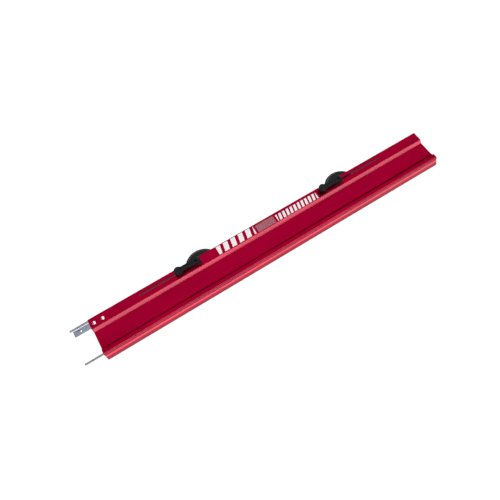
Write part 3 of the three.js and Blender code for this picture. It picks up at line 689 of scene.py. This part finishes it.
def screw_tree():
    """A row of socket screws: crowned heads that stand on their seats, each with a hexagon socket."""
    tree = Tree("socket_screws", {
        "Count": "Int", "Spacing": "Float", "First": "Vector", "Material": "Material",
        "Head Radius": "Float", "Head Height": "Float", "Socket Radius": "Float",
        "Shank Radius": "Float", "Shank Length": "Float",
    })
    head_height, length = tree["Head Height"], tree["Shank Length"]
    head = tree.cylinder(48, tree["Head Radius"], head_height)
    head = tree.moved_up(head, tree.times(head_height, 0.5))
    reach = tree.times(tree["Head Radius"], CROWN_REACH)
    crown_size = tree.node("ShaderNodeCombineXYZ", X=reach, Y=reach, Z=head_height)
    crown = tree.node("GeometryNodeMeshUVSphere", Segments=48, Rings=24, Radius=1.0)
    crown = tree.node("GeometryNodeTransform", Geometry=crown, Scale=crown_size)
    head = tree.boolean("INTERSECT", _1=[head, crown])
    shank = tree.cylinder(32, tree["Shank Radius"], tree.times(length, SHANK_INTO_HEAD[0]))
    shank = tree.moved_up(shank, tree.times(length, SHANK_INTO_HEAD[1]))
    body = tree.boolean("UNION", _1=[head, shank])
    hexagon = tree.cylinder(6, tree["Socket Radius"], head_height)
    hexagon = tree.moved_up(hexagon, tree.times(head_height, SOCKET_LIFT))
    screw = tree.boolean("DIFFERENCE", _0=body, _1=hexagon)
    step = tree.node("ShaderNodeCombineXYZ", X=tree["Spacing"])
    line = tree.node("GeometryNodeMeshLine", {"mode": "OFFSET"}, Count=tree["Count"],
                     Start_Location=tree["First"], Offset=step)
    screws = tree.node("GeometryNodeInstanceOnPoints", Points=line, Instance=screw)
    screws = tree.node("GeometryNodeRealizeInstances", Geometry=screws)
    screws = tree.node("GeometryNodeSetMaterial", Geometry=screws, Material=tree["Material"])
    tree.tree.links.new(screws, tree.output.inputs[0])
    return tree


socket_screws = screw_tree()


def screws(name, nodes, shank_radius, socket_radius, head_height, finish, slot):
    """The screws of one body, in a row along X, each over the CAD screw that it stands for."""
    boxes = [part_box(node) for node in nodes]
    centres = sorted((low.x + high.x) / 2 for low, high in boxes)
    low, high = boxes[0]
    seat = high.z - head_height
    first = (centres[0], (low.y + high.y) / 2, seat)
    values = {
        "Count": len(nodes), "Spacing": centres[1] - centres[0], "First": first,
        "Head Radius": (high.y - low.y) / 2, "Head Height": head_height, "Shank Radius": shank_radius,
        "Shank Length": seat - low.z, "Socket Radius": socket_radius, "Material": finish.material,
    }
    piece = bpy.data.objects.new(name, bpy.data.meshes.new(name))
    bpy.context.scene.collection.objects.link(piece)
    modifier = piece.modifiers.new("screws", "NODES")
    modifier.node_group = socket_screws.tree
    for words, value in values.items():
        modifier[socket_screws.names[words]] = value
    settle(piece)
    smooth(piece)
    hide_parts(*nodes)
    return piece


SPLICE_SCREW = {"shank_radius": 0.00245, "socket_radius": 0.00175, "head_height": 0.0027}
screw_finish = ground_steel("plated_steel", (0.86, 0.86, 0.88))
splice_screws = screws("splice_screws", ["splice_screw_1", "splice_screw_2"], finish=screw_finish,
                       slot="bright_steel", **SPLICE_SCREW)
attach(splice_screws, "rail")

# ---------------------------------------------------------------- suction pads
# Each cup stands on an oval pad of soft black rubber, bonded in its middle to the core plate. Inside a
# thin lip its underside is dished, with a raised rib. Its profile goes from the top of the block out to
# the lip and back in underneath, as inset from the lip, height and rounding.

SIDES = ("left", "right")
OVAL_CORE = 0.001
PAD_BLOCK = (0.016, 0.0008)
PAD_DISH_DEPTH = 0.0026
PAD_UPPER = [(0.015, 0.0033, 0.0012), (0.007, 0.0033, 0.002), (0.0022, 0.0022, 0.002)]
PAD_LIP = [(0, 0.001, 0.0006), (0.0012, 0, 0.0006), (0.0066, 0, 0.0006)]
PAD_DISH = [(0.009, 0.0011, 0.0008), (0.0125, 0.0007, 0.0006), (0.016, 0.0018, 0.002)]
PAD_DISH += [(0.024, PAD_DISH_DEPTH, 0.004)]
PAD_POCKET_MARGIN = 0.0004
PAD_POCKET_CORNER = 0.0008
PAD_POCKET_SLACK = 0.0011


def oval_turned(name, centre, half_x, half_y, profile, segments=128):
    """An oval solid: profile is (inset from the rim, height), from mid top round to the underside."""
    work = bmesh.new()
    rings = []
    for inset, height in profile:
        ring = []
        for i in range(segments):
            angle = 2 * pi * i / segments
            x = centre[0] + (half_x - inset) * cos(angle)
            y = centre[1] + (half_y - inset) * sin(angle)
            ring.append(work.verts.new((x, y, height)))
        rings.append(ring)
    for lower, upper in zip(rings, rings[1:]):
        for i in range(segments):
            following = (i + 1) % segments
            work.faces.new((lower[i], lower[following], upper[following], upper[i]))
    work.faces.new(rings[0])
    work.faces.new(rings[-1])
    mesh = bpy.data.meshes.new(name)
    work.to_mesh(mesh)
    work.free()
    return closed_piece(name, mesh)


def rubber():
    """Moulded rubber: near black, matt, with a little dust in its fine texture."""
    finish = Finish("black_rubber", Specular_IOR_Level=0.3)
    grain = finish.noise((2600, 2600, 2600), 3)
    dust = finish.noise((70, 70, 70), 4, 0.6)
    dusty = finish.spread(dust, 0, 1, 0.45, 0.8)
    finish.set("Base Color", finish.mix(dusty, (0.0075, 0.0078, 0.008), (0.022, 0.021, 0.020)))
    finish.set("Roughness", finish.spread(dust, 0.48, 0.72, 0.35, 0.7))
    finish.bump(grain, 0.00004, 0.6)
    return finish


rubber_finish = rubber()
for side in SIDES:
    low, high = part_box(f"{side}_suction_pad")
    centre = (low + high) / 2
    half = (high - low) / 2
    middle = half.y - OVAL_CORE
    block_inset, block_edge = PAD_BLOCK
    block = [(middle, high.z, 0), (block_inset, high.z, block_edge)]
    dish_floor = (middle, PAD_DISH_DEPTH, 0)
    profile = rounded([*block, *PAD_UPPER, *PAD_LIP, *PAD_DISH, dish_floor], 6, closed=False)
    pad = oval_turned(f"{side}_rubber_pad", centre, half.x, half.y, profile)
    foot_low, foot_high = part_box(f"{side}_pull_tongue")
    foot = (foot_low + foot_high) / 2
    foot_half = (foot_high - foot_low) / 2
    pocket_half = foot_half + Vector((PAD_POCKET_MARGIN, PAD_POCKET_MARGIN, 0))
    pocket = slab(pocket_half.x, pocket_half.y, PAD_POCKET_CORNER, (foot.x, foot.y))
    pocket_floor = foot_low.z - PAD_POCKET_SLACK
    combine(pad, "DIFFERENCE", prism("pocket", [pocket], pocket_floor, high.z + CUT_PAST / 2))
    smooth(pad)
    wear(pad, rubber_finish)
    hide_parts(f"{side}_suction_pad")
    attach(pad, f"{side}_cup")
    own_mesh(pad)

# ---------------------------------------------------------------- core plates and pull tongues
# A blackened steel core lies on the middle of each pad. Its flat tongue comes up through the housing
# and the slot to the lever's pivot, and pulls the middle of the pad up when the lever is shut.

TONGUE_EYE = 0.0021
TONGUE_THICKNESS = 0.004
TONGUE_EDGE = 0.0003
TONGUE_GAP = 0.0002
TONGUE_ROOT = 0.0005
TONGUE_FOOT_CORNER = 0.0006
CORE_EDGE = 0.0004


def black_oxide():
    """Blackened steel: a thin oil-dark oxide, rubbed a little brighter in places."""
    finish = Finish("black_oxide", Metallic=1.0)
    rubbed = finish.noise((420, 420, 420), 4, 0.65)
    bright = finish.spread(rubbed, 0, 1, 0.5, 0.8)
    finish.set("Base Color", finish.mix(bright, (0.030, 0.031, 0.034), (0.075, 0.076, 0.080)))
    finish.set("Roughness", finish.spread(rubbed, 0.42, 0.30, 0.4, 0.7))
    finish.bump(rubbed, 0.00001)
    return finish


oxide_finish = black_oxide()
pivots = {}
for side in SIDES:
    low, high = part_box(f"{side}_core_plate")
    centre = (low + high) / 2
    half = (high - low) / 2
    middle = half.y - OVAL_CORE
    flat = [(middle, high.z, 0), (0, high.z, CORE_EDGE), (0, low.z, CORE_EDGE), (middle, low.z, 0)]
    core = oval_turned(f"{side}_core", centre, half.x, half.y, rounded(flat, 4, closed=False))
    tongue_low, tongue_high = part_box(f"{side}_pull_tongue")
    foot_half = (tongue_high - tongue_low) / 2
    pin_low, pin_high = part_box(f"{side}_pivot_pin")
    pivots[side] = (pin_low + pin_high) / 2
    pivot = pivots[side]
    blade_half = tongue_high.z - pivot.z
    blade_side = TONGUE_THICKNESS / 2
    foot_top = low.z - TONGUE_GAP
    gap = slab(blade_half + TONGUE_GAP, blade_side + TONGUE_GAP, TONGUE_GAP, (pivot.x, pivot.y))
    combine(core, "DIFFERENCE", prism("gap", [gap], low.z - CUT_PAST / 2, high.z + CUT_PAST / 2))
    blade = rounded([
        (pivot.x - blade_half, foot_top - TONGUE_ROOT, 0),
        (pivot.x + blade_half, foot_top - TONGUE_ROOT, 0),
        (pivot.x + blade_half, tongue_high.z, blade_half - 1e-5),
        (pivot.x - blade_half, tongue_high.z, blade_half - 1e-5),
    ], 16)
    eye = circle((pivot.x, pivot.z), TONGUE_EYE)
    tongue = prism(f"{side}_tongue", [blade, eye], pivot.y - blade_side, pivot.y + blade_side, along="Y")
    foot = slab(foot_half.x, foot_half.y, TONGUE_FOOT_CORNER, (pivot.x, pivot.y))
    combine(tongue, "UNION", prism("foot", [foot], tongue_low.z, foot_top))
    break_edges(tongue, TONGUE_EDGE)
    for piece, node in ((core, "core_plate"), (tongue, "pull_tongue")):
        smooth(piece)
        wear(piece, oxide_finish)
        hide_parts(f"{side}_{node}")
        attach(piece, f"{side}_core")

# ---------------------------------------------------------------- cup housings
# An oval cover of glass-filled nylon over each pad, moulded with a neck that stands up under the
# flange. Two screws from the saddle go down through the slot into the neck.

HOUSING_TOP = 0.0156
HOUSING_CROWN = [(0.0125, 0, 0.008), (0.003, 0.0036, 0.005)]
HOUSING_RIM = [(0, 0.003, 0.002), (0, 0, 0.0006), (0.004, 0, 0.0004)]
HOUSING_INSIDE = [(0.0046, 0.003, 0.002), (0.009, 0, 0.002)]
HOUSING_ROOF = 0.0034
HOUSING_EDGE = 0.0003
NECK_UNDER_ARM = 0.024
NECK_AHEAD = 0.008
NECK_BACK = 0.0043
NECK_FRONT = 0.012
NECK_ROUNDING = 0.002
NECK_ROOT = 0.002
TONGUE_OPENING = (0.0065, 0.0025, 0.0008)
SADDLE_SCREWS = (0.021, 0.013)
SADDLE_THREAD_RADIUS = 0.00215
SADDLE_THREAD_DEPTH = 0.008


def nylon(name, shade):
    """Glass-filled nylon: near black, satin, with a fine moulded grain and faint flow marks."""
    finish = Finish(name, Specular_IOR_Level=0.2)
    grain = finish.noise((3600, 3600, 3600), 2)
    flow = finish.noise((60, 25, 60), 4, 0.6)
    light = tuple(c * 1.9 for c in shade)
    finish.set("Base Color", finish.mix(finish.spread(flow, 0, 1, 0.35, 0.75), shade, light))
    fine = finish.spread(grain, 0, 0.06, 0.3, 0.7)
    finish.set("Roughness", finish.spread(flow, 0.30, 0.44, 0.3, 0.7) + fine)
    finish.bump(grain, 0.00003, 0.5)
    return finish


housing_finish = nylon("housing_nylon", (0.0045, 0.0055, 0.0065))
for side in SIDES:
    low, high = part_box(f"{side}_cup_housing")
    centre = (low + high) / 2
    half = (high - low) / 2
    middle = half.y - OVAL_CORE
    roof = HOUSING_TOP - HOUSING_ROOF
    shell = rounded([
        (middle, HOUSING_TOP, 0),
        *[(inset, HOUSING_TOP - drop, rounding) for inset, drop, rounding in HOUSING_CROWN],
        *[(inset, low.z + rise, rounding) for inset, rise, rounding in HOUSING_RIM],
        *[(inset, roof - drop, rounding) for inset, drop, rounding in HOUSING_INSIDE],
        (middle, roof, 0),
    ], 6, closed=False)
    housing = oval_turned(f"{side}_housing", centre, half.x, half.y, shell)
    pivot = pivots[side]
    neck_corners = (
        (-NECK_UNDER_ARM, -NECK_FRONT), (NECK_AHEAD, -NECK_FRONT),
        (NECK_AHEAD, NECK_BACK), (-NECK_UNDER_ARM, NECK_BACK),
    )
    neck = rounded([(pivot.x + dx, pivot.y + dy, NECK_ROUNDING) for dx, dy in neck_corners], 6)
    combine(housing, "UNION", prism("neck", [neck], HOUSING_TOP - NECK_ROOT, high.z))
    opening = slab(*TONGUE_OPENING, (pivot.x, pivot.y))
    threads = [circle((pivot.x - dx, pivot.y), SADDLE_THREAD_RADIUS, 32) for dx in SADDLE_SCREWS]
    past = high.z + CUT_PAST / 2
    combine(housing, "DIFFERENCE", prism("opening", [opening], 0, past),
            prism("threads", threads, high.z - SADDLE_THREAD_DEPTH, past))
    break_edges(housing, HOUSING_EDGE)
    wear(housing, housing_finish)
    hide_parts(f"{side}_cup_housing")
    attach(housing, f"{side}_cup")

# ---------------------------------------------------------------- saddles and wear plates
# A nylon saddle slides on top of the flange over each slot, with two sunk seats for its screws. A thin
# blackened steel plate lies on it, so that the lever's cam doesn't cut into the nylon.

SADDLE_CORNER = 0.003
SADDLE_EDGE = 0.0005
SEAT_RADIUS = 0.0037
SEAT_SLACK = 0.0002
WEAR_CORNER = 0.001
WEAR_EDGE = 0.00015
SADDLE_SCREW = {"shank_radius": 0.00195, "socket_radius": 0.0013, "head_height": 0.0019}

for side in SIDES:
    low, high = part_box(f"{side}_saddle")
    centre = (low + high) / 2
    half = (high - low) / 2
    pivot = pivots[side]
    spots = [(pivot.x - dx, pivot.y) for dx in SADDLE_SCREWS]
    opening = slab(*TONGUE_OPENING, (pivot.x, pivot.y))
    holes = [circle(spot, SADDLE_THREAD_RADIUS, 32) for spot in spots]
    saddle_outline = slab(half.x, half.y, SADDLE_CORNER, (centre.x, centre.y))
    saddle = prism(f"{side}_saddle_block", [saddle_outline, opening, *holes], low.z, high.z)
    seat = high.z - SADDLE_SCREW["head_height"] - SEAT_SLACK
    seats = [circle(spot, SEAT_RADIUS) for spot in spots]
    combine(saddle, "DIFFERENCE", prism("seats", seats, seat, high.z + CUT_PAST / 2))
    break_edges(saddle, SADDLE_EDGE, 3)
    wear(saddle, housing_finish)
    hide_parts(f"{side}_saddle")
    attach(saddle, f"{side}_cup")

    low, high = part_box(f"{side}_wear_plate")
    half = (high - low) / 2
    wear_outline = slab(half.x, half.y, WEAR_CORNER, (pivot.x, pivot.y))
    wear_plate = prism(f"{side}_polished_plate", [wear_outline, opening], low.z, high.z)
    break_edges(wear_plate, WEAR_EDGE)
    wear(wear_plate, oxide_finish)
    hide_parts(f"{side}_wear_plate")
    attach(wear_plate, f"{side}_cup")

    nodes = [f"{side}_saddle_screw_outer", f"{side}_saddle_screw_inner"]
    saddle_screws = screws(f"{side}_saddle_screws", nodes, finish=oxide_finish,
                           slot="black_steel", **SADDLE_SCREW)
    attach(saddle_screws, f"{side}_cup")

# ---------------------------------------------------------------- pivot pins
# A steel pin through the fork of each lever and the eye of its tongue, with a rolled-over head at both
# ends.

PIVOT_RADIUS = 0.002
PIVOT_HEAD = 0.001
PIVOT_ROUNDINGS = (0.0007, 0.0002)

for side in SIDES:
    low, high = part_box(f"{side}_pivot_pin")
    pivot = pivots[side]
    head_radius = (high.z - low.z) / 2
    rolled, under_head = PIVOT_ROUNDINGS
    front_face, back_face = low.y + PIVOT_HEAD, high.y - PIVOT_HEAD
    profile = rounded([
        (0, low.y, 0), (head_radius, low.y, rolled), (head_radius, front_face, under_head),
        (PIVOT_RADIUS, front_face, 0), (PIVOT_RADIUS, back_face, 0), (head_radius, back_face, under_head),
        (head_radius, high.y, rolled), (0, high.y, 0)], 5, closed=False)
    pin = turned(f"{side}_pivot", profile, (pivot.x, 0, pivot.z), along="Y")
    smooth(pin)
    wear(pin, oxide_finish)
    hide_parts(f"{side}_pivot_pin")
    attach(pin, f"{side}_core")

# ---------------------------------------------------------------- levers
# Each lever is moulded in black nylon: a round dished knob, an arm with a groove along its top and deep
# sides, and a fork whose two cheeks are the cam. Everything is blended by the mould's own soft radii.

KNOB_RADIUS = 0.0122
KNOB_TOP = 0.0024
KNOB_BOTTOM = -0.0076
LEVER_REACH = 0.060
ARM_HALF_WIDTH = 0.0068
ARM_TOP = 0.0026
ARM_BOTTOM = -0.0064
FORK_HALF_WIDTH = 0.0083
FORK_HALF_GAP = 0.0029
FORK_ROOT = 0.0082
CAM_HEIGHT = 0.008
CAM_DROP = 0.0014
CAM_SWEEP = radians(100)
CAM_CROWN = 0.0052
CAM_CROWN_ARC = (0.15, pi / 2 + 0.35)
CAM_HEEL = 0.001
CAM_STEPS = 24
FORK_INTO_ARM = 0.004
FORK_FLARE = 0.012
FORK_ROUNDINGS = (0.012, 0.006)
KNOB_ROUNDINGS = (0.0018, 0.0016, 0.0012, 0.002)
KNOB_DISH = {"outer": 0.003, "inner": 0.0055, "depth": 0.0012}
GROOVE_HALF_WIDTH = 0.0022
GROOVE_DEPTH = 0.0016
GROOVE_MARGINS = (0.001, 0.007)
BORE_SLACK = 0.0002
BORE_REACH = 0.02
MOULD_GRID = 0.00042

lever_finish = nylon("lever_nylon", (0.0030, 0.0042, 0.0055))


def cheek_outline(x, z):
    """The cam in X and Z: its flat, its working curve, and the crown over the pivot."""
    root = x - FORK_ROOT
    points = [
        (root - FORK_INTO_ARM, z + ARM_TOP), (root - FORK_INTO_ARM, z + ARM_BOTTOM),
        (root, z - CAM_HEIGHT + CAM_HEEL), (root + CAM_HEEL, z - CAM_HEIGHT),
    ]
    for i in range(CAM_STEPS + 1):
        turn = CAM_SWEEP * i / CAM_STEPS
        height = CAM_HEIGHT - CAM_DROP * turn
        across = height * sin(turn) - CAM_DROP * cos(turn)
        below = height * cos(turn) + CAM_DROP * sin(turn)
        points.append((x + across, z - below))
    points += [tuple(p) for p in arc((x, z), CAM_CROWN, *CAM_CROWN_ARC, 16)]
    return points


def arm_outline(x, y):
    """The arm from above, widening into the fork."""
    reach, fork = x - LEVER_REACH, x - FORK_ROOT
    flare, shoulder = fork - FORK_FLARE, fork - FORK_INTO_ARM
    hollow, crest = FORK_ROUNDINGS
    return rounded([
        (reach, y - ARM_HALF_WIDTH, 0), (flare, y - ARM_HALF_WIDTH, hollow),
        (shoulder, y - FORK_HALF_WIDTH, crest), (fork, y - FORK_HALF_WIDTH, 0),
        (fork, y + FORK_HALF_WIDTH, 0), (shoulder, y + FORK_HALF_WIDTH, crest),
        (flare, y + ARM_HALF_WIDTH, hollow), (reach, y + ARM_HALF_WIDTH, 0)], 6)


for side in SIDES:
    x, y, z = pivots[side]
    lever = prism(f"{side}_lever_arm", [arm_outline(x, y)], z + ARM_BOTTOM, z + ARM_TOP)
    knob_top, knob_bottom = z + KNOB_TOP, z + KNOB_BOTTOM
    dish_floor = knob_top - KNOB_DISH["depth"]
    dish_outer, dish_inner = KNOB_RADIUS - KNOB_DISH["outer"], KNOB_RADIUS - KNOB_DISH["inner"]
    heel, brow, rim, hollow = KNOB_ROUNDINGS
    knob_profile = rounded([
        (0, knob_bottom, 0), (KNOB_RADIUS, knob_bottom, heel), (KNOB_RADIUS, knob_top, brow),
        (dish_outer, knob_top, rim), (dish_inner, dish_floor, hollow), (0, dish_floor, 0)], 6, closed=False)
    knob = turned("knob", knob_profile, (x - LEVER_REACH, y, 0))
    over_knob = [
        (0, dish_floor), (dish_inner, dish_floor), (dish_outer, knob_top),
        (dish_outer, knob_top + CUT_PAST), (0, knob_top + CUT_PAST),
    ]
    cheek_sides = ((y + FORK_HALF_GAP, y + FORK_HALF_WIDTH), (y - FORK_HALF_WIDTH, y - FORK_HALF_GAP))
    cheeks = [prism("cheek", [cheek_outline(x, z)], front, rear, along="Y") for front, rear in cheek_sides]
    combine(lever, "UNION", knob, *cheeks)
    groove_ends = (LEVER_REACH - KNOB_RADIUS - GROOVE_MARGINS[0], FORK_ROOT + GROOVE_MARGINS[1])
    groove = slab((groove_ends[0] - groove_ends[1]) / 2, GROOVE_HALF_WIDTH, GROOVE_HALF_WIDTH - 1e-5,
                  (x - sum(groove_ends) / 2, y))
    arm_top = z + ARM_TOP
    combine(lever, "DIFFERENCE", prism("groove", [groove], arm_top - GROOVE_DEPTH, arm_top + CUT_PAST),
            turned("dish", over_knob, (x - LEVER_REACH, y, 0)))
    mould = lever.modifiers.new("mould", "REMESH")
    mould.mode = "VOXEL"
    mould.voxel_size = MOULD_GRID
    soften = lever.modifiers.new("soften", "SMOOTH")
    soften.factor = 0.5
    soften.iterations = 5
    settle(lever)
    bore = circle((x, z), PIVOT_RADIUS + BORE_SLACK)
    combine(lever, "DIFFERENCE", prism("bore", [bore], y - BORE_REACH, y + BORE_REACH, along="Y"))
    smooth(lever, 60)
    wear(lever, lever_finish)
    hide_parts(f"{side}_lever")
    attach(lever, f"{side}_lever")

# ---------------------------------------------------------------- studio
# A plain pale floor under soft even light, with one low bright panel in front that runs along the rail's
# front faces. The panels light the tool alone. A sun from straight above and a dim fill light the floor.
# The camera looks down on the rail from its left front.

CAMERA_TARGET = Vector((-0.0529, -0.0139, 0.018))
CAMERA_DISTANCE = 1.2046
CAMERA_ELEVATION = 67.75
CAMERA_YAW = 26.67
CAMERA_ROLL = -5.35
CAMERA_LENS = 30.89

camera = bpy.data.objects.new("camera", bpy.data.cameras.new("camera"))
bpy.context.scene.collection.objects.link(camera)
turn = Matrix.Rotation(radians(-CAMERA_YAW), 4, "Z")
turn = turn @ Matrix.Rotation(radians(90 - CAMERA_ELEVATION), 4, "X")
turn = turn @ Matrix.Rotation(radians(CAMERA_ROLL), 4, "Z")
camera.matrix_world = Matrix.Translation(CAMERA_TARGET) @ turn @ Matrix.Translation((0, 0, CAMERA_DISTANCE))
camera.data.sensor_width = 36
camera.data.lens = CAMERA_LENS
camera.data.clip_start = 0.01
bpy.context.scene.camera = camera
bpy.context.scene.view_settings.view_transform = "Standard"

FLOOR_HALF = 12
FLOOR_TOP = -0.0002
floor_signs = ((-1, -1), (1, -1), (1, 1), (-1, 1))
floor_corners = [(sx * FLOOR_HALF, sy * FLOOR_HALF, FLOOR_TOP) for sx, sy in floor_signs]
floor_mesh = bpy.data.meshes.new("floor")
floor_mesh.from_pydata(floor_corners, [], [(0, 1, 2, 3)])
floor = bpy.data.objects.new("floor", floor_mesh)
bpy.context.scene.collection.objects.link(floor)
floor_finish = Finish("pale_floor", Roughness=0.9, Specular_IOR_Level=0.0)
shade = floor_finish.noise((3, 3, 3), 2)
floor_finish.set("Base Color", floor_finish.mix(shade, (0.90, 0.90, 0.90), (0.93, 0.93, 0.93)))
floor.data.materials.append(floor_finish.material)

world = bpy.data.worlds.new("studio")
bpy.context.scene.world = world
world.use_nodes = True
world.node_tree.nodes["Background"].inputs["Color"].default_value = (1, 1, 1, 1)
world.node_tree.nodes["Background"].inputs["Strength"].default_value = 1.0
world.cycles_visibility.diffuse = False
world.cycles_visibility.glossy = False
world.cycles_visibility.transmission = False


def softbox(name, place, target, size, radiance, lit, blockers=None):
    """A rectangular light that faces a point. It lights what is in lit, in the shadow of the blockers."""
    light = bpy.data.lights.new(name, "AREA")
    light.shape = "RECTANGLE"
    light.size, light.size_y = size
    light.energy = radiance * pi * size[0] * size[1]
    lamp = bpy.data.objects.new(name, light)
    bpy.context.scene.collection.objects.link(lamp)
    lamp.location = place
    lamp.rotation_euler = (Vector(target) - Vector(place)).to_track_quat("-Z", "Y").to_euler()
    lamp.light_linking.receiver_collection = lit
    if blockers:
        lamp.light_linking.blocker_collection = blockers


tool = bpy.data.collections.new("tool")
shading = bpy.data.collections.new("shading")
for piece in bpy.context.scene.objects:
    if piece.type == "MESH" and piece != floor:
        tool.objects.link(piece)
        if not piece.name.startswith(("splice", "back_dowel", "front_dowel")):
            shading.objects.link(piece)
ground = bpy.data.collections.new("ground")
ground.objects.link(floor)

softbox("front_panel", (0.6, -2.6, 0.36), (0.6, 0, 0.2), (5.0, 0.72), 4.0, tool)
softbox("front_strip", (0.2, -0.95, 2.2), (0.1, 0, 0), (4.6, 0.9), 3.2, tool)
softbox("overhead", (0.5, 1.35, 2.2), (0.4, 0, 0), (4.8, 3.2), 1.0, tool)
softbox("left_panel", (-2.4, 0, 1.0), (0, 0, 0.2), (2.0, 1.2), 0.7, tool)
softbox("right_panel", (2.6, 0, 1.0), (0, 0, 0.2), (2.0, 1.2), 0.7, tool)
softbox("back_panel", (0, 2.6, 0.5), (0, 0, 0.2), (3.0, 0.6), 1.4, tool)
softbox("under_panel", (0, 0, -1.6), (0, 0, 0), (3.0, 2.0), 0.8, tool, tool)
softbox("floor_fill", (0, 0, 3), (0, 0, 0), (6.0, 6.0), 0.15, ground)

down = bpy.data.lights.new("down_light", "SUN")
down.energy = 3.6
down.angle = radians(5)
down_lamp = bpy.data.objects.new("down_light", down)
bpy.context.scene.collection.objects.link(down_lamp)
down_lamp.location = (0, 0, 3)
down_lamp.light_linking.receiver_collection = ground
down_lamp.light_linking.blocker_collection = shading
